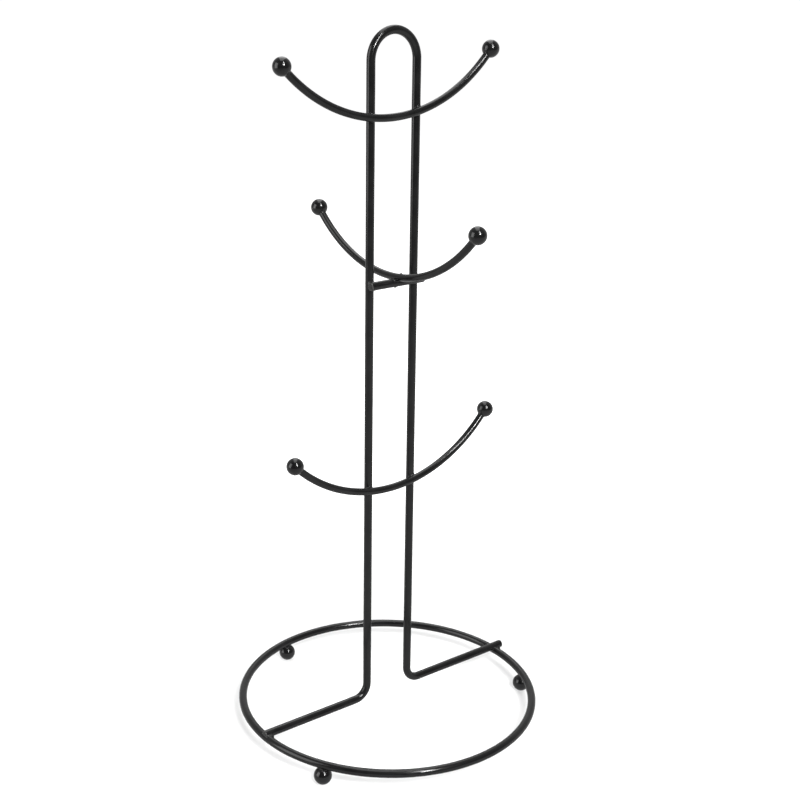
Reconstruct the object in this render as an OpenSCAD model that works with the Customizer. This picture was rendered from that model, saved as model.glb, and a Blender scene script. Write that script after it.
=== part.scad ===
// Mug tree welded up from coated steel wire.
// A hairpin mast stands on a ring with three ball feet and carries three
// curved arms, each with a ball on both tips. Millimetres, +Z up.
// The origin is on the standing surface, below the middle of the ring.
// X runs along the flat of the mast and -Y is the front, where the arms are.

/* [Overall] */
// Height from the standing surface to the top of the mast
overall_h = 368.5; // [340:0.5:460]
// Diameter of the base ring, measured at the middle of its wire
ring_d = 160; // [120:1:200]
// Thickness of the wire of the mast, the ring and the cross bar
wire_d = 4.4; // [3:0.1:5]
// How deep two crossing wires sink into each other at a weld
weld_sink = 1.3; // [0.3:0.1:1.4]
// How deep the foot wires sink into the ring
foot_wire_sink = 2.3; // [0.3:0.1:2.4]
// Size of the chamfer round a cut wire end
cut_edge = 0.3; // [0.1:0.05:0.6]

/* [Mast] */
// Distance between the two legs, centre to centre
legs_apart = 28; // [22:0.5:40]
// Bend radius where a leg turns out into its foot wire
foot_bend_r = 8; // [5:0.5:12]
// How far the left foot wire runs past the middle of the ring's wire
left_overhang = 1.5; // [0:0.5:6]
// How far the right foot wire runs past the middle of the ring's wire
right_overhang = 5.5; // [0:0.5:6]

/* [Arms] */
// Thickness of the arms' wire
arm_wire_d = 3.9; // [2.8:0.1:4.6]
// Radius of the arms' curve, measured at the middle of the wire
arm_r = 84.4; // [70:0.2:110]
// Angle from an arm's middle to the centre of the ball on its tip
arm_half_angle = 48.2; // [40:0.2:60]
// Height of the top arm's middle
top_arm_h = 325.6; // [280:0.2:340]
// Height of the bottom arm's middle
bottom_arm_h = 133.8; // [90:0.2:180]
// Height of the cross bar, which carries the middle arm
cross_bar_h = 244; // [200:0.2:270]
// Length of the cross bar past the centre of the left leg
cross_bar_left_overhang = 2; // [1.5:0.5:8]
// Length of the cross bar past the centre of the right leg
cross_bar_right_overhang = 4; // [1.5:0.5:8]

/* [Hand fitting] */
// Sideways place of the top arm's middle
top_arm_shift = -2.8; // [-5:0.2:5]
// Lean of the top arm, right tip up
top_arm_lean = 1.6; // [-5:0.2:5]
// Sideways place of the bottom arm's middle
bottom_arm_shift = 2.2; // [-5:0.2:5]
// Lean of the bottom arm, right tip up
bottom_arm_lean = 2.4; // [-5:0.2:5]
// Place of the middle arm's middle, from front (minus) to back
middle_arm_shift = -1.2; // [-5:0.2:5]
// Lean of the middle arm, back tip up
middle_arm_lean = -2; // [-5:0.2:5]

/* [Balls] */
// Diameter of the balls on the arms' tips
tip_ball_d = 8.9; // [7:0.1:14]
// Depth of the blind socket that a tip ball sits on its wire with
tip_socket = 2.6; // [1:0.1:4]
// Diameter of the ball feet
foot_ball_d = 9.4; // [7:0.1:14]
// How deep the ring sinks into a ball foot
foot_sink = 0.7; // [0.2:0.1:1]
// Diameter of the small flat that a ball foot stands on
foot_flat_d = 2.4; // [1:0.1:4]
// Direction of the right foot from the middle of the ring
right_foot_angle = -22; // [-40:1:-8]
// Direction of the back foot
back_foot_angle = 100; // [80:1:120]
// Direction of the left foot
left_foot_angle = 208; // [188:1:230]

/* [Welds] */
// How much wider than the wire the weld bead is where two wires cross
cross_bead_swell = 1.6; // [0.8:0.1:3]
// How far the weld collar at a tip ball stands proud of the wire
tip_collar_step = 0.6; // [0.2:0.1:1]
// Length of the weld collar from the tip ball's surface along the wire
tip_collar_len = 1.1; // [0.5:0.1:2.5]
// How much wider than the wire the weld bead is between the ring and a ball foot
foot_bead_swell = 0.6; // [0.2:0.1:1.6]
// Length of ring wire that the seam weld fills
seam_len = 1.4; // [0.8:0.1:3]
// How much thicker than the ring's wire the seam weld is
seam_swell = 0.3; // [0:0.1:0.8]
// Direction of the ring's seam from the middle of the ring
seam_angle = 62; // [30:1:80]

/* [Hidden] */
$fn = 72;
// Steps round a whole turn of a long curve
curve_steps = 288;

ring_r = ring_d / 2;
leg_x = legs_apart / 2;

// Heights, worked out upwards from the standing surface
foot_ball_r = foot_ball_d / 2;
foot_ball_z = sqrt(pow(foot_ball_r, 2) - pow(foot_flat_d / 2, 2));
ring_z = foot_ball_z + foot_ball_r + wire_d / 2 - foot_sink;
foot_wire_z = ring_z + wire_d - foot_wire_sink;
leg_bottom_z = foot_wire_z + foot_bend_r;
leg_top_z = overall_h - wire_d / 2 - leg_x;

// Places in front of the mast, worked out forwards from its flat
arm_y = -(wire_d + arm_wire_d) / 2 + weld_sink;
cross_bar_y = -wire_d + weld_sink;
middle_arm_h = cross_bar_h + (wire_d + arm_wire_d) / 2 - weld_sink;

// The wire stops this far short of a tip ball's centre
tip_gap = tip_ball_d / 2 - tip_socket;
arm_wire_half_angle = arm_half_angle - tip_gap / arm_r * 180 / PI;
// The weld collar starts inside the ball, where its wide end is hidden
tip_collar_r = arm_wire_d / 2 + tip_collar_step;
tip_collar_gap = sqrt(pow(tip_ball_d / 2, 2) - pow(tip_collar_r, 2)) - tip_collar_len / 3;
tip_collar_angle = arm_half_angle - tip_collar_gap / arm_r * 180 / PI;

// Weld beads, sized from the wire that they join
cross_bead_d = wire_d + cross_bead_swell;
foot_bead_d = wire_d + foot_bead_swell;
// Turn of the ring that the seam weld fills
seam_sweep = seam_len / ring_r * 180 / PI;

wire_colour = [0.06, 0.06, 0.065];
ball_colour = [0.03, 0.03, 0.035];
weld_colour = [0.10, 0.10, 0.105];

// ---------- shapes that repeat ----------

// Straight wire from the origin along +X, with its far end chamfered
module cut_wire(len, d) {
    rotate([0, 90, 0])
        rotate_extrude()
            polygon([
                [0, 0], [d / 2, 0], [d / 2, len - cut_edge],
                [d / 2 - cut_edge, len], [0, len]
            ]);
}

// Part of a ring of wire round the Z axis, starting on +X
module wire_arc(r, d, sweep) {
    rotate_extrude(angle = sweep, $fn = curve_steps)
        translate([r, 0])
            circle(d = d, $fn = 72);
}

// Stands an arm upright with its middle on the origin, and leans it there
module arm_place(lean) {
    rotate([0, -lean, 0])
        translate([0, 0, arm_r])
            rotate([90, 0, 0])
                children();
}

// The arm's curved wire, its middle on the origin
module arm_wire(lean) {
    arm_place(lean)
        rotate([0, 0, -90 - arm_wire_half_angle])
            wire_arc(arm_r, arm_wire_d, 2 * arm_wire_half_angle);
}

// Puts something on the arm's centre line, side -1 or 1 along it
module on_arm(lean, side, angle) {
    arm_place(lean)
        rotate([0, 0, -90 + side * angle])
            translate([arm_r, 0, 0])
                children();
}

// A ball on an arm's tip, with the socket that the wire fills
module tip_ball(lean, side) {
    difference() {
        on_arm(lean, side, arm_half_angle) sphere(d = tip_ball_d);
        arm_wire(lean);
    }
}

// The tapered weld collar round a wire where it goes into a tip ball
module tip_collar(lean, side) {
    difference() {
        on_arm(lean, side, tip_collar_angle)
            rotate([side * 90, 0, 0])
                cylinder(
                    h = tip_collar_len * 4 / 3,
                    r1 = tip_collar_r,
                    r2 = arm_wire_d / 2 + tip_collar_step / 5
                );
        on_arm(lean, side, arm_half_angle) sphere(d = tip_ball_d);
        arm_wire(lean);
    }
}

// Height of an arm's centre line at a distance along it from its middle
function arm_rise(lean, along) =
    arm_r * cos(lean)
    - sqrt(pow(arm_r, 2) - pow(along + arm_r * sin(lean), 2));

// ---------- places of the arms ----------

module at_top_arm() {
    translate([top_arm_shift, arm_y, top_arm_h]) children();
}

module at_bottom_arm() {
    translate([bottom_arm_shift, arm_y, bottom_arm_h]) children();
}

module at_middle_arm() {
    translate([0, middle_arm_shift, middle_arm_h])
        rotate([0, 0, 90])
            children();
}

// ---------- wires ----------

// One leg with its foot wire, side -1 or 1
module mast_half(side, overhang) {
    bend_x = leg_x + foot_bend_r;
    mirror([side < 0 ? 1 : 0, 0, 0]) {
        translate([leg_x, 0, leg_bottom_z])
            cylinder(h = leg_top_z - leg_bottom_z, d = wire_d);
        translate([bend_x, 0, leg_bottom_z])
            rotate([90, 0, 0])
                rotate([0, 0, 180])
                    wire_arc(foot_bend_r, wire_d, 90);
        translate([bend_x, 0, foot_wire_z])
            cut_wire(ring_r + overhang - bend_x, wire_d);
    }
}

module mast_wire() {
    mast_half(-1, left_overhang);
    mast_half(1, right_overhang);
    translate([0, 0, leg_top_z])
        rotate([90, 0, 0])
            wire_arc(leg_x, wire_d, 180);
}

module mast() {
    color(wire_colour) mast_wire();
}

module ring_wire() {
    translate([0, 0, ring_z])
        rotate([0, 0, seam_angle + seam_sweep / 2])
            wire_arc(ring_r, wire_d, 360 - seam_sweep);
}

// The ring is notched where the foot wires sink into it
module base_ring() {
    color(wire_colour)
        difference() {
            ring_wire();
            mast_wire();
        }
}

module ring_seam_weld() {
    color(weld_colour)
        translate([0, 0, ring_z])
            rotate([0, 0, seam_angle - seam_sweep / 2])
                wire_arc(ring_r, wire_d + seam_swell, seam_sweep);
}

module cross_bar_wire() {
    translate([0, cross_bar_y, cross_bar_h]) {
        cut_wire(leg_x + cross_bar_right_overhang, wire_d);
        mirror([1, 0, 0])
            cut_wire(leg_x + cross_bar_left_overhang, wire_d);
    }
}

// The cross bar and the top and bottom arms are notched over the legs
module cross_bar() {
    color(wire_colour)
        difference() {
            cross_bar_wire();
            mast_wire();
        }
}

module top_arm() {
    color(wire_colour)
        difference() {
            at_top_arm() arm_wire(top_arm_lean);
            mast_wire();
        }
}

module bottom_arm() {
    color(wire_colour)
        difference() {
            at_bottom_arm() arm_wire(bottom_arm_lean);
            mast_wire();
        }
}

// The middle arm is notched over the cross bar
module middle_arm() {
    color(wire_colour)
        difference() {
            at_middle_arm() arm_wire(middle_arm_lean);
            cross_bar_wire();
        }
}

// ---------- balls ----------

module top_tip(side) {
    color(ball_colour) at_top_arm() tip_ball(top_arm_lean, side);
}

module middle_tip(side) {
    color(ball_colour) at_middle_arm() tip_ball(middle_arm_lean, side);
}

module bottom_tip(side) {
    color(ball_colour) at_bottom_arm() tip_ball(bottom_arm_lean, side);
}

module at_foot(angle) {
    rotate([0, 0, angle])
        translate([ring_r, 0, foot_ball_z])
            children();
}

// A ball foot, flat where it stands and hollowed where the ring sits
module foot(angle) {
    color(ball_colour)
        difference() {
            at_foot(angle) sphere(d = foot_ball_d);
            translate([0, 0, -foot_ball_d])
                cylinder(h = foot_ball_d, r = ring_r + foot_ball_d);
            ring_wire();
        }
}

// ---------- welds ----------

// Bead where a foot wire sits on the ring, no longer than the wire's end
module base_weld(side, overhang) {
    color(weld_colour)
        difference() {
            translate([side * ring_r, 0, (ring_z + foot_wire_z) / 2])
                sphere(d = cross_bead_d);
            translate([side * (ring_r + overhang), 0, foot_wire_z])
                rotate([0, side * 90, 0])
                    cylinder(h = cross_bead_d, d = wire_d);
            ring_wire();
            mast_wire();
        }
}

// Bead where an arm crosses a leg; shift and height are the arm's own
module arm_weld(side, shift, height, lean) {
    along = side * leg_x - shift;
    color(weld_colour)
        difference() {
            translate([side * leg_x, arm_y / 2, height + arm_rise(lean, along)])
                sphere(d = cross_bead_d);
            translate([shift, arm_y, height]) arm_wire(lean);
            mast_wire();
        }
}

// Bead where the cross bar crosses a leg, no longer than the bar's end
module cross_bar_weld(side, overhang) {
    color(weld_colour)
        difference() {
            translate([side * leg_x, cross_bar_y / 2, cross_bar_h])
                sphere(d = cross_bead_d);
            translate([side * (leg_x + overhang), cross_bar_y, cross_bar_h])
                rotate([0, side * 90, 0])
                    cylinder(h = cross_bead_d, d = wire_d);
            cross_bar_wire();
            mast_wire();
        }
}

// Bead where the middle arm rests on the cross bar
module middle_arm_weld() {
    along = cross_bar_y - middle_arm_shift;
    arm_z = middle_arm_h + arm_rise(middle_arm_lean, along);
    color(weld_colour)
        difference() {
            translate([0, cross_bar_y, (cross_bar_h + arm_z) / 2])
                sphere(d = cross_bead_d);
            at_middle_arm() arm_wire(middle_arm_lean);
            cross_bar_wire();
        }
}

module top_tip_weld(side) {
    color(weld_colour) at_top_arm() tip_collar(top_arm_lean, side);
}

module middle_tip_weld(side) {
    color(weld_colour) at_middle_arm() tip_collar(middle_arm_lean, side);
}

module bottom_tip_weld(side) {
    color(weld_colour) at_bottom_arm() tip_collar(bottom_arm_lean, side);
}

// Bead between the ring and a ball foot
module foot_weld(angle) {
    contact = foot_ball_r - foot_sink / 2;
    color(weld_colour)
        difference() {
            at_foot(angle) translate([0, 0, contact]) sphere(d = foot_bead_d);
            at_foot(angle) sphere(d = foot_ball_d);
            ring_wire();
        }
}

// ---------- the nodes ----------

mast();
base_ring();
ring_seam_weld();
cross_bar();
top_arm();
middle_arm();
bottom_arm();
top_tip(-1);  // top_left_tip
top_tip(1);  // top_right_tip
middle_tip(-1);  // middle_front_tip
middle_tip(1);  // middle_back_tip
bottom_tip(-1);  // bottom_left_tip
bottom_tip(1);  // bottom_right_tip
foot(left_foot_angle);  // left_foot
foot(back_foot_angle);  // back_foot
foot(right_foot_angle);  // right_foot
base_weld(-1, left_overhang);  // left_base_weld
base_weld(1, right_overhang);  // right_base_weld
arm_weld(-1, top_arm_shift, top_arm_h, top_arm_lean);  // top_left_weld
arm_weld(1, top_arm_shift, top_arm_h, top_arm_lean);  // top_right_weld
arm_weld(-1, bottom_arm_shift, bottom_arm_h, bottom_arm_lean);  // bottom_left_weld
arm_weld(1, bottom_arm_shift, bottom_arm_h, bottom_arm_lean);  // bottom_right_weld
cross_bar_weld(-1, cross_bar_left_overhang);  // cross_bar_left_weld
cross_bar_weld(1, cross_bar_right_overhang);  // cross_bar_right_weld
middle_arm_weld();
top_tip_weld(-1);  // top_left_tip_weld
top_tip_weld(1);  // top_right_tip_weld
middle_tip_weld(-1);  // middle_front_tip_weld
middle_tip_weld(1);  // middle_back_tip_weld
bottom_tip_weld(-1);  // bottom_left_tip_weld
bottom_tip_weld(1);  // bottom_right_tip_weld
foot_weld(left_foot_angle);  // left_foot_weld
foot_weld(back_foot_angle);  // back_foot_weld
foot_weld(right_foot_angle);  // right_foot_weld
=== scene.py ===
"""Looks of a black wire mug tree: coated wires, glossy balls and weld beads in a small studio."""
import math

import bmesh
import bpy
from mathutils import Matrix, Vector, kdtree, noise


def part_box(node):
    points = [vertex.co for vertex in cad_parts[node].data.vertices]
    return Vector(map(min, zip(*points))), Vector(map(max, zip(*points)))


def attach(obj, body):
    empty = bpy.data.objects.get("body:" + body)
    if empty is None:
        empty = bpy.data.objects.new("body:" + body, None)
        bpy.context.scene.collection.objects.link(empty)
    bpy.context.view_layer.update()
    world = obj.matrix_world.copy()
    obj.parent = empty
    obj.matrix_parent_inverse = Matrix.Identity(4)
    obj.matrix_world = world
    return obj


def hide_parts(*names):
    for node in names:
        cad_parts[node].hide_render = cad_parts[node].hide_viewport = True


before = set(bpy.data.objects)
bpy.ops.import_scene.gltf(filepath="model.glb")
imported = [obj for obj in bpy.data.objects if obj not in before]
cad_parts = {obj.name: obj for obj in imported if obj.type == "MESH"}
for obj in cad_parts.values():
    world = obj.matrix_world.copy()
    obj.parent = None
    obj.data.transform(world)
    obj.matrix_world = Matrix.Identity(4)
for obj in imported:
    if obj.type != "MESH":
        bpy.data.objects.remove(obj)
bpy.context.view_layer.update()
scene = bpy.context.scene

X = Vector((1, 0, 0))
Y = Vector((0, 1, 0))
Z = Vector((0, 0, 1))
MM = 0.001


def middle(node):
    low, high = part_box(node)
    return (low + high) / 2


def extent(node):
    low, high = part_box(node)
    return high - low


# ---------- sizes, worked out from the frame ----------

WIRE_R = extent("mast").y / 2
ARM_WIRE_R = extent("top_arm").y / 2
LEG_X = middle("cross_bar_right_weld").x
FOOT_BEND_R = 8 * MM
LEFT_END, RIGHT_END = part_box("mast")[0].x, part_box("mast")[1].x
MAST_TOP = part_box("mast")[1].z
FOOT_WIRE_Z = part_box("mast")[0].z + WIRE_R
RING_R = extent("base_ring").x / 2 - WIRE_R
RING_Z = middle("base_ring").z
CROSS_BAR = middle("cross_bar")
CROSS_BAR_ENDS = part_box("cross_bar")[0].x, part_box("cross_bar")[1].x
TIP_R = extent("top_left_tip").x / 2
FOOT_R = extent("left_foot").x / 2
FOOT_FLAT_R = 1.2 * MM
# Height of a ball foot's centre above its flat
FOOT_Z = math.sqrt(FOOT_R ** 2 - FOOT_FLAT_R ** 2)

# Each arm with the node names of its two tip balls
ARMS = {
    "top_arm": ("top_left_tip", "top_right_tip"),
    "middle_arm": ("middle_front_tip", "middle_back_tip"),
    "bottom_arm": ("bottom_left_tip", "bottom_right_tip"),
}
FEET = ("left_foot", "back_foot", "right_foot")

# How finely wires are drawn
WIRE_SIDES = 48
WIRE_STEP = 1.0 * MM

# Cut wire ends: radius of the worn rim, rise of the domed face, and both together
CUT_EDGE = 0.45 * MM
CUT_DOME = 0.12 * MM
CUT_LEN = CUT_EDGE + CUT_DOME


# ---------- camera ----------

CAMERA_TURN = math.radians(-36.328)
CAMERA_RISE = math.radians(18.119)
CAMERA_DISTANCE = 0.68573
AIM_LEFT = 0.02439
AIM_HEIGHT = RING_Z + 0.17053
LENS = 59.6
SENSOR = 36.0
SHIFT_X = 0.0711


def direction(turn, rise):
    """Unit vector to where a camera or lamp stands; turn 0 is in front, plus to the right."""
    return Vector((
        math.sin(turn) * math.cos(rise),
        -math.cos(turn) * math.cos(rise),
        math.sin(rise),
    ))


def make_camera():
    data = bpy.data.cameras.new("camera")
    data.lens = LENS
    data.sensor_width = SENSOR
    data.shift_x = SHIFT_X
    data.clip_start = 0.01
    data.clip_end = 100
    camera = bpy.data.objects.new("camera", data)
    scene.collection.objects.link(camera)
    right = Vector((math.cos(CAMERA_TURN), math.sin(CAMERA_TURN), 0))
    back = direction(CAMERA_TURN, CAMERA_RISE)
    camera.location = Z * AIM_HEIGHT - right * AIM_LEFT + back * CAMERA_DISTANCE
    camera.rotation_mode = "QUATERNION"
    camera.rotation_quaternion = (-back).to_track_quat("-Z", "Y")
    scene.camera = camera


make_camera()


# ---------- studio ----------

def soft_lamp(name, turn, rise, distance, width, height, watts, shadow=True, mirrored=True):
    """Flat lamp aimed at the middle of the tree; turn is counted from the camera, in degrees."""
    aim = Z * (MAST_TOP / 2)
    data = bpy.data.lights.new(name, "AREA")
    data.shape = "RECTANGLE"
    data.size = width
    data.size_y = height
    data.energy = watts
    data.use_shadow = shadow
    lamp = bpy.data.objects.new(name, data)
    scene.collection.objects.link(lamp)
    towards = direction(CAMERA_TURN + math.radians(turn), math.radians(rise))
    lamp.location = aim + towards * distance
    lamp.rotation_mode = "QUATERNION"
    lamp.rotation_quaternion = towards.to_track_quat("Z", "Y")
    lamp.visible_camera = False
    lamp.visible_glossy = mirrored


def new_node(tree, kind, **values):
    """Node with its input sockets set to plain values."""
    node = tree.nodes.new(kind)
    for title, value in values.items():
        node.inputs[title].default_value = value
    return node


# How bright the room is in front of the tree and behind it, as the wires mirror it
ROOM_DARK = 0.04
ROOM_BRIGHT = 0.5
PAPER_WHITE = (0.86, 0.86, 0.86, 1)
PAPER_MIRRORED = (0.1, 0.1, 0.1, 1)
WHITE = (1, 1, 1, 1)


def make_paper():
    """Pale paper with a painted glow: white to the eye, with faint shadows, and dimmer where the
    wires mirror it.
    """
    material = bpy.data.materials.new("floor_paper")
    material.use_nodes = True
    tree = material.node_tree
    tree.nodes.remove(tree.nodes["Principled BSDF"])
    where = tree.nodes.new("ShaderNodeTexCoord")
    away = tree.nodes.new("ShaderNodeVectorMath")
    away.operation = "LENGTH"
    behind = tree.nodes.new("ShaderNodeVectorMath")
    behind.operation = "DOT_PRODUCT"
    behind.inputs[1].default_value = -direction(CAMERA_TURN, 0)
    glow = []
    # the paper glows a little more inside the ring and far away, so that only
    # the shadows round the ring show
    for place, near, far, near_level, far_level in (
            (away, 0.05, 0.07, 0.3, 0.0), (away, 0.12, 0.40, 0.0, 0.85),
            (behind, -0.9, 0.3, ROOM_DARK, ROOM_BRIGHT)):
        tree.links.new(where.outputs["Object"], place.inputs[0])
        level = new_node(tree, "ShaderNodeMapRange", **{
            "From Min": near, "From Max": far, "To Min": near_level, "To Max": far_level})
        tree.links.new(place.outputs["Value"], level.inputs["Value"])
        light = new_node(tree, "ShaderNodeEmission", Color=WHITE)
        tree.links.new(level.outputs["Result"], light.inputs["Strength"])
        glow.append(light.outputs["Emission"])
    both = tree.nodes.new("ShaderNodeAddShader")
    for socket, light in zip(both.inputs, glow):
        tree.links.new(light, socket)
    glow[:2] = [both.outputs["Shader"]]
    sheets = []
    for light, colour in zip(glow, (PAPER_WHITE, PAPER_MIRRORED)):
        matt = new_node(tree, "ShaderNodeBsdfDiffuse", Color=colour)
        sheet = tree.nodes.new("ShaderNodeAddShader")
        tree.links.new(light, sheet.inputs[0])
        tree.links.new(matt.outputs["BSDF"], sheet.inputs[1])
        sheets.append(sheet)
    path = tree.nodes.new("ShaderNodeLightPath")
    mix = tree.nodes.new("ShaderNodeMixShader")
    tree.links.new(path.outputs["Is Camera Ray"], mix.inputs["Fac"])
    tree.links.new(sheets[1].outputs["Shader"], mix.inputs[1])
    tree.links.new(sheets[0].outputs["Shader"], mix.inputs[2])
    tree.links.new(mix.outputs["Shader"], tree.nodes["Material Output"].inputs["Surface"])
    return material


def make_floor():
    data = bpy.data.meshes.new("floor")
    bm = bmesh.new()
    bmesh.ops.create_grid(bm, x_segments=1, y_segments=1, size=6)
    bm.to_mesh(data)
    bm.free()
    floor = bpy.data.objects.new("floor", data)
    scene.collection.objects.link(floor)
    data.materials.append(make_paper())


def make_world():
    """White behind the tree, and for the wires to mirror a room that is dark round the camera."""
    world = bpy.data.worlds.new("studio")
    world.use_nodes = True
    tree = world.node_tree
    tree.nodes.clear()
    where = tree.nodes.new("ShaderNodeTexCoord")
    behind = tree.nodes.new("ShaderNodeVectorMath")
    behind.operation = "DOT_PRODUCT"
    behind.inputs[1].default_value = -direction(CAMERA_TURN, 0)
    tree.links.new(where.outputs["Generated"], behind.inputs[0])
    level = new_node(tree, "ShaderNodeMapRange", **{
        "From Min": -0.3, "From Max": 0.9, "To Min": ROOM_DARK, "To Max": ROOM_BRIGHT})
    tree.links.new(behind.outputs["Value"], level.inputs["Value"])
    room = new_node(tree, "ShaderNodeBackground", Color=WHITE)
    tree.links.new(level.outputs["Result"], room.inputs["Strength"])
    white = new_node(tree, "ShaderNodeBackground", Color=WHITE, Strength=1.05)
    path = tree.nodes.new("ShaderNodeLightPath")
    mix = tree.nodes.new("ShaderNodeMixShader")
    out = tree.nodes.new("ShaderNodeOutputWorld")
    tree.links.new(path.outputs["Is Camera Ray"], mix.inputs["Fac"])
    tree.links.new(room.outputs["Background"], mix.inputs[1])
    tree.links.new(white.outputs["Background"], mix.inputs[2])
    tree.links.new(mix.outputs["Shader"], out.inputs["Surface"])
    scene.world = world


scene.view_settings.view_transform = "Standard"
make_floor()
make_world()
# spot on each ball
soft_lamp("key_lamp", turn=28, rise=29, distance=1.5, width=0.14, height=0.14,
          watts=10, shadow=False)
# thin bright line along an arm and the ring
soft_lamp("line_softbox", turn=33, rise=46, distance=1.5, width=0.10, height=0.75,
          watts=10, shadow=False)
# shadows on the floor
soft_lamp("shadow_softbox", turn=19, rise=38, distance=1.5, width=0.32, height=0.32,
          watts=16, mirrored=False)
# grey bands down the left side and over the top
soft_lamp("left_softbox", turn=-70, rise=17, distance=1.4, width=0.9, height=1.2, watts=8)
soft_lamp("top_softbox", turn=180, rise=68, distance=1.5, width=0.85, height=2.2,
          watts=10, shadow=False)


# ---------- coatings ----------

def new_group(name, inputs, outputs):
    """Empty shader node group; inputs are (name, socket type, default), outputs (name, type)."""
    group = bpy.data.node_groups.new(name, "ShaderNodeTree")
    for title, kind, default in inputs:
        socket = group.interface.new_socket(name=title, in_out="INPUT", socket_type=kind)
        socket.default_value = default
    for title, kind in outputs:
        group.interface.new_socket(name=title, in_out="OUTPUT", socket_type=kind)
    return group, group.nodes.new("NodeGroupInput"), group.nodes.new("NodeGroupOutput")


def math_node(tree, operation, first, second, clamp=False):
    """Math node whose two inputs are sockets or plain numbers."""
    node = tree.nodes.new("ShaderNodeMath")
    node.operation = operation
    node.use_clamp = clamp
    for socket, value in zip(node.inputs, (first, second)):
        if isinstance(value, (int, float)):
            socket.default_value = value
        else:
            tree.links.new(value, socket)
    return node.outputs[0]


def noise_node(tree, scale, detail, roughness):
    """Noise over the piece's own place in metres."""
    where = tree.nodes.new("ShaderNodeTexCoord")
    node = tree.nodes.new("ShaderNodeTexNoise")
    node.inputs["Detail"].default_value = detail
    node.inputs["Roughness"].default_value = roughness
    tree.links.new(where.outputs["Object"], node.inputs["Vector"])
    if isinstance(scale, (int, float)):
        node.inputs["Scale"].default_value = scale
    else:
        tree.links.new(scale, node.inputs["Scale"])
    return node.outputs["Fac"]


def ramp_node(tree, value, low, high):
    """Stretches a value so that low becomes 0 and high becomes 1."""
    node = tree.nodes.new("ShaderNodeMapRange")
    node.inputs["From Min"].default_value = low
    node.inputs["From Max"].default_value = high
    tree.links.new(value, node.inputs["Value"])
    return node.outputs["Result"]


def make_paint_skin():
    """Stoved paint: orange peel, slow colour drift and patches of different gloss."""
    group, source, sink = new_group(
        "paint_skin",
        [("Colour", "NodeSocketColor", (0.01, 0.01, 0.01, 1)),
         ("Faded colour", "NodeSocketColor", (0.02, 0.02, 0.02, 1)),
         ("Roughness", "NodeSocketFloat", 0.3),
         ("Gloss patches", "NodeSocketFloat", 0.1),
         ("Peel scale", "NodeSocketFloat", 900.0),
         ("Peel depth", "NodeSocketFloat", 1.0)],
        [("Colour", "NodeSocketColor"),
         ("Roughness", "NodeSocketFloat"),
         ("Height", "NodeSocketFloat")],
    )
    drift = ramp_node(group, noise_node(group, 90.0, 3.0, 0.6), 0.38, 0.66)
    mix = group.nodes.new("ShaderNodeMix")
    mix.data_type = "RGBA"
    group.links.new(drift, mix.inputs["Factor"])
    group.links.new(source.outputs["Colour"], mix.inputs[6])
    group.links.new(source.outputs["Faded colour"], mix.inputs[7])
    patches = ramp_node(group, noise_node(group, 260.0, 4.0, 0.6), 0.3, 0.7)
    swing = math_node(group, "MULTIPLY", patches, source.outputs["Gloss patches"])
    rough = math_node(group, "ADD", source.outputs["Roughness"], swing)
    peel = noise_node(group, source.outputs["Peel scale"], 2.0, 0.5)
    height = math_node(group, "MULTIPLY", peel, source.outputs["Peel depth"])
    group.links.new(mix.outputs[2], sink.inputs["Colour"])
    group.links.new(rough, sink.inputs["Roughness"])
    group.links.new(height, sink.inputs["Height"])
    return group


def make_specks():
    """Fine dust and nibs caught in the paint, as a mask."""
    group, source, sink = new_group(
        "paint_specks",
        [("Scale", "NodeSocketFloat", 700.0), ("Amount", "NodeSocketFloat", 0.1)],
        [("Mask", "NodeSocketFloat")],
    )
    where = group.nodes.new("ShaderNodeTexCoord")
    cells = group.nodes.new("ShaderNodeTexVoronoi")
    group.links.new(where.outputs["Object"], cells.inputs["Vector"])
    group.links.new(source.outputs["Scale"], cells.inputs["Scale"])
    near = math_node(group, "LESS_THAN", cells.outputs["Distance"], source.outputs["Amount"])
    clumps = ramp_node(group, noise_node(group, 150.0, 2.0, 0.5), 0.5, 0.62)
    group.links.new(math_node(group, "MULTIPLY", near, clumps), sink.inputs["Mask"])
    return group


PAINT_SKIN = make_paint_skin()
SPECKS = make_specks()
DUST = (0.04, 0.04, 0.039, 1)


def place_group(tree, group, values):
    node = tree.nodes.new("ShaderNodeGroup")
    node.node_tree = group
    for title, value in values.items():
        node.inputs[title].default_value = value
    return node


def attribute(tree, name):
    node = tree.nodes.new("ShaderNodeAttribute")
    node.attribute_name = name
    return node.outputs["Fac"]


def mix_colour(tree, factor, first, second):
    """Mix of a linked colour and a plain one."""
    node = tree.nodes.new("ShaderNodeMix")
    node.data_type = "RGBA"
    tree.links.new(factor, node.inputs["Factor"])
    tree.links.new(first, node.inputs[6])
    node.inputs[7].default_value = second
    return node.outputs[2]


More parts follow.
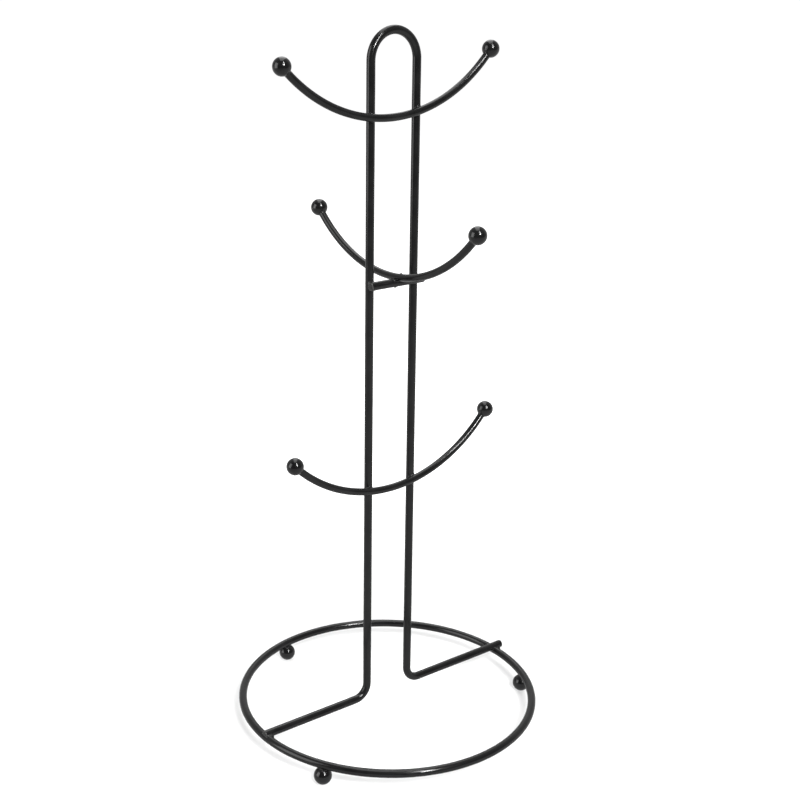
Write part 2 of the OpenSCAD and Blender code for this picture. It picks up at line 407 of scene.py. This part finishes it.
def make_coat(name, skin, specks, worn, heat_rough, bump, coat=None):
    """Black paint. worn is the colour where it wears thin at edges, heat_rough the extra roughness
    where a weld has warmed the wire, and bump the height in metres of the peel."""
    material = bpy.data.materials.new(name)
    material.use_nodes = True
    tree = material.node_tree
    shader = tree.nodes["Principled BSDF"]
    paint = place_group(tree, PAINT_SKIN, skin)
    dust = place_group(tree, SPECKS, specks)
    heat = attribute(tree, "heat")
    thin = attribute(tree, "thin")
    worn_noise = ramp_node(tree, noise_node(tree, 1400.0, 3.0, 0.6), 0.35, 0.6)
    worn_mask = math_node(tree, "MULTIPLY", thin, worn_noise, clamp=True)
    colour = mix_colour(tree, worn_mask, paint.outputs["Colour"], worn)
    colour = mix_colour(tree, dust.outputs["Mask"], colour, DUST)
    rough = math_node(tree, "ADD", paint.outputs["Roughness"],
                      math_node(tree, "MULTIPLY", heat, heat_rough))
    rough = math_node(tree, "ADD", rough, math_node(tree, "MULTIPLY", worn_mask, 0.15), clamp=True)
    wrinkle = math_node(tree, "MULTIPLY", noise_node(tree, 1500.0, 4.0, 0.65), heat)
    height = math_node(tree, "ADD", paint.outputs["Height"],
                       math_node(tree, "MULTIPLY", wrinkle, 1.5))
    relief = tree.nodes.new("ShaderNodeBump")
    relief.inputs["Strength"].default_value = 1.0
    relief.inputs["Distance"].default_value = bump
    tree.links.new(height, relief.inputs["Height"])
    tree.links.new(colour, shader.inputs["Base Color"])
    tree.links.new(rough, shader.inputs["Roughness"])
    tree.links.new(relief.outputs["Normal"], shader.inputs["Normal"])
    if coat:
        shader.inputs["Coat Weight"].default_value = coat[0]
        shader.inputs["Coat Roughness"].default_value = coat[1]
    return material


WIRE_COAT = make_coat(
    "wire_coat",
    {"Colour": (0.006, 0.006, 0.0062, 1), "Faded colour": (0.0105, 0.0105, 0.0107, 1),
     "Roughness": 0.16, "Gloss patches": 0.04, "Peel scale": 1100.0, "Peel depth": 1.0},
    {"Scale": 900.0, "Amount": 0.08},
    (0.09, 0.088, 0.085, 1), 0.12, 0.0014 * MM,
)
BALL_COAT = make_coat(
    "ball_coat",
    {"Colour": (0.0045, 0.0045, 0.0047, 1), "Faded colour": (0.007, 0.007, 0.0072, 1),
     "Roughness": 0.17, "Gloss patches": 0.04, "Peel scale": 700.0, "Peel depth": 0.6},
    {"Scale": 800.0, "Amount": 0.07},
    (0.05, 0.05, 0.05, 1), 0.05, 0.001 * MM, coat=(0.3, 0.05),
)
WELD_COAT = make_coat(
    "weld_coat",
    {"Colour": (0.0055, 0.0055, 0.0057, 1), "Faded colour": (0.011, 0.011, 0.0112, 1),
     "Roughness": 0.2, "Gloss patches": 0.14, "Peel scale": 1300.0, "Peel depth": 1.6},
    {"Scale": 900.0, "Amount": 0.14},
    (0.08, 0.078, 0.075, 1), 0.06, 0.012 * MM,
)
SLOT_COATS = {"wire_coat": WIRE_COAT, "ball_coat": BALL_COAT, "weld_coat": WELD_COAT}


# ---------- making pieces ----------

WELD_NODES = [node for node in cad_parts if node.endswith("_weld")]
HEAT_REACH = 3.4 * MM

# Unevenness of the coating on each kind of piece: slow sway, fine ripple, puckers near a weld
WIRE_SKIN = 0.025 * MM, 0.001 * MM, 0.02 * MM
CROSS_BAR_SKIN = 0.03 * MM, 0.004 * MM, 0.05 * MM
BALL_SKIN = 0.03 * MM, 0.001 * MM, 0.003 * MM
BEAD_SKIN = 0.05 * MM, 0.05 * MM, 0.05 * MM
SEAM_SKIN = 0.05 * MM, 0.03 * MM, 0.02 * MM


def make_weld_map():
    """Places of all welds, to look up the nearest one."""
    spots = kdtree.KDTree(len(WELD_NODES))
    for number, node in enumerate(sorted(WELD_NODES)):
        spots.insert(middle(node), number)
    spots.balance()
    return spots


WELD_MAP = make_weld_map()


def finish_skin(bm, sway, ripple, wrinkle):
    """Uneven thickness of the coating, and how much each spot was warmed by a weld.
    On the whole it takes off a little, so that a piece stays inside its CAD surface."""
    bmesh.ops.recalc_face_normals(bm, faces=bm.faces)
    bm.normal_update()
    heat_layer = bm.verts.layers.float.get("heat") or bm.verts.layers.float.new("heat")
    for vert in bm.verts:
        away = WELD_MAP.find(vert.co)[2]
        heat = math.exp(-(away / HEAT_REACH) ** 2)
        vert[heat_layer] = heat
        lift = sway * noise.noise(vert.co * 170) - 1.2 * (sway + ripple)
        lift += ripple * noise.noise(vert.co * 620)
        lift += wrinkle * heat * noise.noise(vert.co * 1150)
        vert.co += vert.normal * lift


def add_piece(name, bm, slot, node):
    """Turns a closed bmesh into a shown piece that stands for a CAD node."""
    bmesh.ops.recalc_face_normals(bm, faces=bm.faces)
    mesh = bpy.data.meshes.new(name)
    bm.to_mesh(mesh)
    bm.free()
    mesh.shade_smooth()
    mesh.materials.append(SLOT_COATS[slot])
    piece = bpy.data.objects.new(name, mesh)
    scene.collection.objects.link(piece)
    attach(piece, "root")
    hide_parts(node)


def facing(at, along):
    """Matrix that puts a shape's origin at a point with its Z along a direction."""
    return Matrix.Translation(at) @ along.to_track_quat("Z", "Y").to_matrix().to_4x4()


# ---------- wires ----------

def start_wire(bm, at, along, radius):
    """First hoop of a wire, in a mesh that is still empty; gives its edges in order."""
    bmesh.ops.create_circle(
        bm, cap_ends=False, segments=WIRE_SIDES, radius=radius, matrix=facing(at, along),
    )
    return bm.edges[:]


def pull(bm, edges):
    """Extrudes an open wire end; gives the new end's vertices and edges."""
    made = bmesh.ops.extrude_edge_only(bm, edges=edges)["geom"]
    verts = [part for part in made if isinstance(part, bmesh.types.BMVert)]
    fresh = set(verts)
    ends = [part for part in made
            if isinstance(part, bmesh.types.BMEdge) and set(part.verts) <= fresh]
    return verts, ends


def draw_straight(bm, edges, move):
    """Draws a straight length on from an open end; gives the new end's edges."""
    steps = max(1, round(move.length / WIRE_STEP))
    for _ in range(steps):
        verts, edges = pull(bm, edges)
        bmesh.ops.translate(bm, verts=verts, vec=move / steps)
    return edges


def draw_bend(bm, edges, centre, axis, angle):
    """Draws a bend round an axis on from an open end; gives the new end's edges."""
    hoop = [vert.co for edge in edges for vert in edge.verts]
    reach = (sum(hoop, Vector()) / len(hoop) - centre).length
    steps = max(2, round(reach * abs(angle) / WIRE_STEP))
    made = bmesh.ops.spin(
        bm, geom=edges, cent=centre, axis=axis, angle=angle, steps=steps, use_duplicate=False,
    )["geom_last"]
    return [part for part in made if isinstance(part, bmesh.types.BMEdge)]


def close_end(bm, edges, at, along, radius):
    """Closes a cut end with a rounded rim and a slightly domed face."""
    thin = bm.verts.layers.float.get("thin") or bm.verts.layers.float.new("thin")
    rows = []
    for step in range(1, 7):
        swing = math.radians(15 * step)
        rows.append((radius - CUT_EDGE + CUT_EDGE * math.cos(swing), CUT_EDGE * math.sin(swing)))
    flat = radius - CUT_EDGE
    for share in (0.8, 0.6, 0.4, 0.2):
        rows.append((flat * share, CUT_EDGE + CUT_DOME * (1 - share ** 2)))
    now, forward = radius, 0.0
    for wide, out in rows:
        verts, edges = pull(bm, edges)
        bmesh.ops.scale(bm, verts=verts, vec=Vector((1, 1, 1)) * (wide / now),
                        space=Matrix.Translation(-(at + along * forward)))
        bmesh.ops.translate(bm, verts=verts, vec=along * (out - forward))
        now, forward = wide, out
        for vert in verts:
            vert[thin] = 1.0 if wide > flat * 0.9 else 0.3
    bmesh.ops.pointmerge(bm, verts=verts, merge_co=at + along * CUT_LEN)


def mast():
    """One hairpin wire: left foot wire, leg, top bend, leg, right foot wire."""
    bm = bmesh.new()
    bend_x = LEG_X + FOOT_BEND_R
    bend_z = FOOT_WIRE_Z + FOOT_BEND_R
    top_z = MAST_TOP - WIRE_R - LEG_X
    left = Vector((LEFT_END + CUT_LEN, 0, FOOT_WIRE_Z))
    right = Vector((RIGHT_END - CUT_LEN, 0, FOOT_WIRE_Z))
    start = start_wire(bm, left, X, WIRE_R)
    edges = draw_straight(bm, start, X * (-bend_x - left.x))
    edges = draw_bend(bm, edges, Vector((-bend_x, 0, bend_z)), Y, math.radians(-90))
    edges = draw_straight(bm, edges, Z * (top_z - bend_z))
    edges = draw_bend(bm, edges, Z * top_z, Y, math.radians(180))
    edges = draw_straight(bm, edges, Z * (bend_z - top_z))
    edges = draw_bend(bm, edges, Vector((bend_x, 0, bend_z)), Y, math.radians(-90))
    edges = draw_straight(bm, edges, X * (right.x - bend_x))
    close_end(bm, edges, right, X, WIRE_R)
    close_end(bm, start, left, -X, WIRE_R)
    finish_skin(bm, *WIRE_SKIN)
    add_piece("mast_wire", bm, "wire_coat", "mast")


def base_ring():
    """One wire rolled into a closed ring."""
    bm = bmesh.new()
    edges = start_wire(bm, Vector((RING_R, 0, RING_Z)), Y, WIRE_R)
    steps = round(2 * math.pi * RING_R / WIRE_STEP)
    bmesh.ops.spin(bm, geom=edges, cent=Z * RING_Z, axis=Z, angle=2 * math.pi,
                   steps=steps, use_merge=True, use_duplicate=False)
    bmesh.ops.remove_doubles(bm, verts=bm.verts, dist=WIRE_R / 1000)
    finish_skin(bm, *WIRE_SKIN)
    add_piece("ring_wire", bm, "wire_coat", "base_ring")


def cross_bar():
    """Short straight wire across the front of both legs, cut at both ends."""
    bm = bmesh.new()
    left = Vector((CROSS_BAR_ENDS[0] + CUT_LEN, CROSS_BAR.y, CROSS_BAR.z))
    right = Vector((CROSS_BAR_ENDS[1] - CUT_LEN, CROSS_BAR.y, CROSS_BAR.z))
    start = start_wire(bm, left, X, WIRE_R)
    edges = draw_straight(bm, start, right - left)
    close_end(bm, edges, right, X, WIRE_R)
    close_end(bm, start, left, -X, WIRE_R)
    finish_skin(bm, *CROSS_BAR_SKIN)
    add_piece("cross_bar_wire", bm, "wire_coat", "cross_bar")


def arm_arc(arm):
    """Centre, radius, axis and the two tip places of an arm's curve."""
    first, last = (middle(tip) for tip in ARMS[arm])
    chord = last - first
    half = chord.length / 2
    up = (Z - chord.normalized() * Z.dot(chord.normalized())).normalized()
    mid = (first + last) / 2
    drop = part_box(arm)[0].z + ARM_WIRE_R - mid.z
    # the curve's lowest point is straight below its centre, one radius down
    lean = up.z ** 2
    root = math.sqrt(drop ** 2 - (1 - lean) * (drop ** 2 + lean * half ** 2))
    radius = (drop ** 2 + lean * half ** 2) / (root - drop)
    centre = mid + up * math.sqrt(radius ** 2 - half ** 2)
    axis = chord.cross(up).normalized()
    return centre, radius, axis, first, last


ARM_ARCS = {arm: arm_arc(arm) for arm in ARMS}


def arm_wire(arm):
    """An arm's arc, from inside one tip ball to inside the other."""
    centre, radius, axis, first, last = ARM_ARCS[arm]
    short = (TIP_R * 0.45) / radius
    sweep = (first - centre).angle(last - centre) - 2 * short
    begin = centre + Matrix.Rotation(short, 3, axis) @ (first - centre)
    finish = centre + Matrix.Rotation(sweep, 3, axis) @ (begin - centre)
    along_begin = axis.cross(begin - centre).normalized()
    along_finish = Matrix.Rotation(sweep, 3, axis) @ along_begin
    bm = bmesh.new()
    start = start_wire(bm, begin, along_begin, ARM_WIRE_R)
    edges = draw_bend(bm, start, centre, axis, sweep)
    close_end(bm, edges, finish, along_finish, ARM_WIRE_R)
    close_end(bm, start, begin, -along_begin, ARM_WIRE_R)
    finish_skin(bm, *WIRE_SKIN)
    add_piece(arm + "_wire", bm, "wire_coat", arm)


# ---------- balls ----------

def ball(name, node, at, radius, stands=False):
    """Painted ball, a little out of round, with a flat where it stands."""
    bm = bmesh.new()
    bmesh.ops.create_icosphere(bm, subdivisions=6, radius=radius,
                               matrix=Matrix.Translation(at))
    bm.verts.layers.float.new("thin")
    finish_skin(bm, *BALL_SKIN)
    if stands:
        everything = bm.verts[:] + bm.edges[:] + bm.faces[:]
        cut = bmesh.ops.bisect_plane(bm, geom=everything, plane_co=(0, 0, 0),
                                     plane_no=(0, 0, -1), clear_outer=True)["geom_cut"]
        rim = [part for part in cut if isinstance(part, bmesh.types.BMEdge)]
        bmesh.ops.edgeloop_fill(bm, edges=rim)
    add_piece(name, bm, "ball_coat", node)


# ---------- weld beads ----------

# Voxel size and smoothing rounds of a melted bead, how far its stubs start under the
# pieces' own surfaces, and how much it swells again
WEB_GRAIN = 0.2 * MM
WEB_SMOOTHING = 42
WEB_INSET = 0.04 * MM
WEB_SWELL = 0.10 * MM


def rod(bm, at, along, length, radius):
    """Length of wire inside a bead."""
    bmesh.ops.create_cone(
        bm, cap_ends=True, cap_tris=False, segments=40, radius1=radius, radius2=radius,
        depth=length, matrix=facing(at, along),
    )


def lump(bm, at, radius):
    """Blob of weld metal, or the part of a ball inside a bead."""
    bmesh.ops.create_icosphere(bm, subdivisions=4, radius=radius, matrix=Matrix.Translation(at))


def web(name, node, shapes):
    """Weld bead: the joined pieces' own stubs melted together, so that the crook fills up."""
    raw = bmesh.new()
    for make, *facts in shapes:
        make(raw, *facts)
    draft = bpy.data.meshes.new("draft")
    raw.to_mesh(draft)
    raw.free()
    holder = bpy.data.objects.new("draft", draft)
    scene.collection.objects.link(holder)
    melt = holder.modifiers.new("melt", "REMESH")
    melt.mode = "VOXEL"
    melt.voxel_size = WEB_GRAIN
    melted = holder.evaluated_get(bpy.context.evaluated_depsgraph_get())
    bm = bmesh.new()
    bm.from_mesh(melted.to_mesh())
    bpy.data.objects.remove(holder)
    bpy.data.meshes.remove(draft)
    for _ in range(WEB_SMOOTHING):
        bmesh.ops.smooth_vert(bm, verts=bm.verts, factor=0.5,
                              use_axis_x=True, use_axis_y=True, use_axis_z=True)
    bm.normal_update()
    bm.verts.layers.float.new("thin")
    for vert in bm.verts:
        vert.co += vert.normal * WEB_SWELL
    finish_skin(bm, *BEAD_SKIN)
    add_piece(name, bm, "weld_coat", node)


def stub(at, along, radius, length=7 * MM):
    return rod, at, along, length, radius - WEB_INSET


def nub(at, radius):
    return lump, at, radius


def arm_point(arm, place, value):
    """Point and direction on an arm's curve where its X (place 0) or Y (place 1) has a value."""
    centre, radius, axis, _, _ = ARM_ARCS[arm]
    side = value - centre[place]
    point = Vector(centre)
    point[place] = value
    point.z = centre.z - math.sqrt(radius ** 2 - side ** 2)
    return point, (point - centre).cross(axis).normalized()


def arm_welds():
    """Top and bottom arms to both legs."""
    for arm, level in (("top_arm", "top"), ("bottom_arm", "bottom")):
        for side, hand in ((-1, "left"), (1, "right")):
            point, along = arm_point(arm, 0, side * LEG_X)
            leg = Vector((side * LEG_X, 0, point.z))
            web(f"{level}_{hand}_bead", f"{level}_{hand}_weld",
                [stub(point, along, ARM_WIRE_R), stub(leg, Z, WIRE_R)])


def cross_bar_welds():
    """Cross bar to both legs, lumpy at the left one, and the middle arm to the cross bar."""
    for side, end, hand in zip((-1, 1), CROSS_BAR_ENDS, ("left", "right")):
        leg = Vector((side * LEG_X, 0, CROSS_BAR.z))
        bar = Vector((end - side * 3.2 * MM, CROSS_BAR.y, CROSS_BAR.z))
        shapes = [stub(bar, X, WIRE_R, 6 * MM), stub(leg, Z, WIRE_R)]
        if side < 0:
            shapes.append(nub(leg + Vector((-0.6, -2.6, 1.5)) * MM, 1.1 * MM))
            shapes.append(nub(leg + Vector((0.6, -2.7, -1.6)) * MM, 1.2 * MM))
        web(f"cross_bar_{hand}_bead", f"cross_bar_{hand}_weld", shapes)
    point, along = arm_point("middle_arm", 1, CROSS_BAR.y)
    web("middle_arm_bead", "middle_arm_weld", [
        stub(point, along, ARM_WIRE_R, 11 * MM),
        stub(Vector((0, CROSS_BAR.y, CROSS_BAR.z)), X, WIRE_R),
        nub(point + Vector((0.2, -4.2, 1.9)) * MM, 1.05 * MM),
        nub(Vector((-0.2 * MM, CROSS_BAR.y, CROSS_BAR.z - 2.0 * MM)), 0.95 * MM),
    ])


def base_welds():
    """Foot wires to the ring."""
    for side, end, hand in ((-1, LEFT_END, "left"), (1, RIGHT_END, "right")):
        ring = Vector((side * RING_R, 0, RING_Z))
        inner = side * (RING_R - 3.6 * MM)
        outer = min(abs(end) - 0.2 * MM, RING_R + 3.4 * MM) * side
        foot = Vector(((inner + outer) / 2, 0, FOOT_WIRE_Z))
        crook = Vector((side * RING_R + 1.6 * MM, -2.4 * MM, (RING_Z + FOOT_WIRE_Z) / 2))
        web(f"{hand}_base_bead", f"{hand}_base_weld", [
            stub(ring, Y, WIRE_R, 8 * MM),
            stub(foot, X, WIRE_R, abs(outer - inner)),
            nub(crook, 1.5 * MM),
        ])


def tip_welds():
    """Tip balls to the arms' ends."""
    for arm, tips in ARMS.items():
        centre, radius, axis, first, last = ARM_ARCS[arm]
        for tip, at in zip(tips, (first, last)):
            along = (at - centre).cross(axis).normalized()
            if along.z > 0:
                along = -along
            neck = at + along * (TIP_R + 0.6 * MM)
            # the stub follows the curve's chord, so it is nudged onto the wire
            neck += (centre - at).normalized() * (TIP_R ** 2 / (2 * radius))
            web(tip + "_bead", tip + "_weld", [
                nub(at, TIP_R - WEB_INSET),
                stub(neck, along, ARM_WIRE_R, 4.4 * MM),
            ])


def foot_place(foot):
    """Centre of a ball foot; its box gives the place, and the flat its height."""
    spot = middle(foot)
    return Vector((spot.x, spot.y, FOOT_Z))


def foot_welds():
    """Ball feet to the ring."""
    for foot in FEET:
        at = foot_place(foot)
        outwards = Vector((at.x, at.y, 0)).normalized()
        ring = outwards * RING_R + Z * RING_Z
        web(foot + "_bead", foot + "_weld", [
            nub(at + Z * 0.4 * MM, FOOT_R - 0.4 * MM - WEB_INSET),
            stub(ring, outwards.cross(Z), WIRE_R),
        ])


def seam_weld():
    """Butt weld of the ring: a low band round its wire."""
    spot = middle("ring_seam_weld")
    outwards = Vector((spot.x, spot.y, 0)).normalized()
    at = outwards * RING_R + Z * RING_Z
    along = outwards.cross(Z)
    bm = bmesh.new()
    rise = 0.3 * MM
    tuck = 0.12 * MM
    half = 0.9 * MM
    rows = 10
    chain = []
    for row in range(rows + 1):
        swing = math.pi * row / rows
        wide = WIRE_R - tuck + (rise + tuck) * math.sin(swing)
        chain.append(bm.verts.new(at - along * half * math.cos(swing) + Z * wide))
    inside = [bm.verts.new(at + along * side * half + Z * (WIRE_R * 0.8)) for side in (1, -1)]
    loop = chain + inside
    edges = [bm.edges.new((loop[n], loop[(n + 1) % len(loop)])) for n in range(len(loop))]
    bmesh.ops.spin(bm, geom=edges, cent=at, axis=along, angle=2 * math.pi, steps=WIRE_SIDES,
                   use_merge=True, use_duplicate=False)
    bmesh.ops.remove_doubles(bm, verts=bm.verts, dist=WIRE_R / 1000)
    bm.verts.layers.float.new("thin")
    finish_skin(bm, *SEAM_SKIN)
    add_piece("ring_seam_bead", bm, "weld_coat", "ring_seam_weld")


mast()
base_ring()
cross_bar()
for arm in ARMS:
    arm_wire(arm)
for arm, tips in ARMS.items():
    for tip in tips:
        ball(tip + "_ball", tip, middle(tip), TIP_R)
for foot in FEET:
    ball(foot + "_ball", foot, foot_place(foot), FOOT_R, stands=True)
arm_welds()
cross_bar_welds()
base_welds()
tip_welds()
foot_welds()
seam_weld()
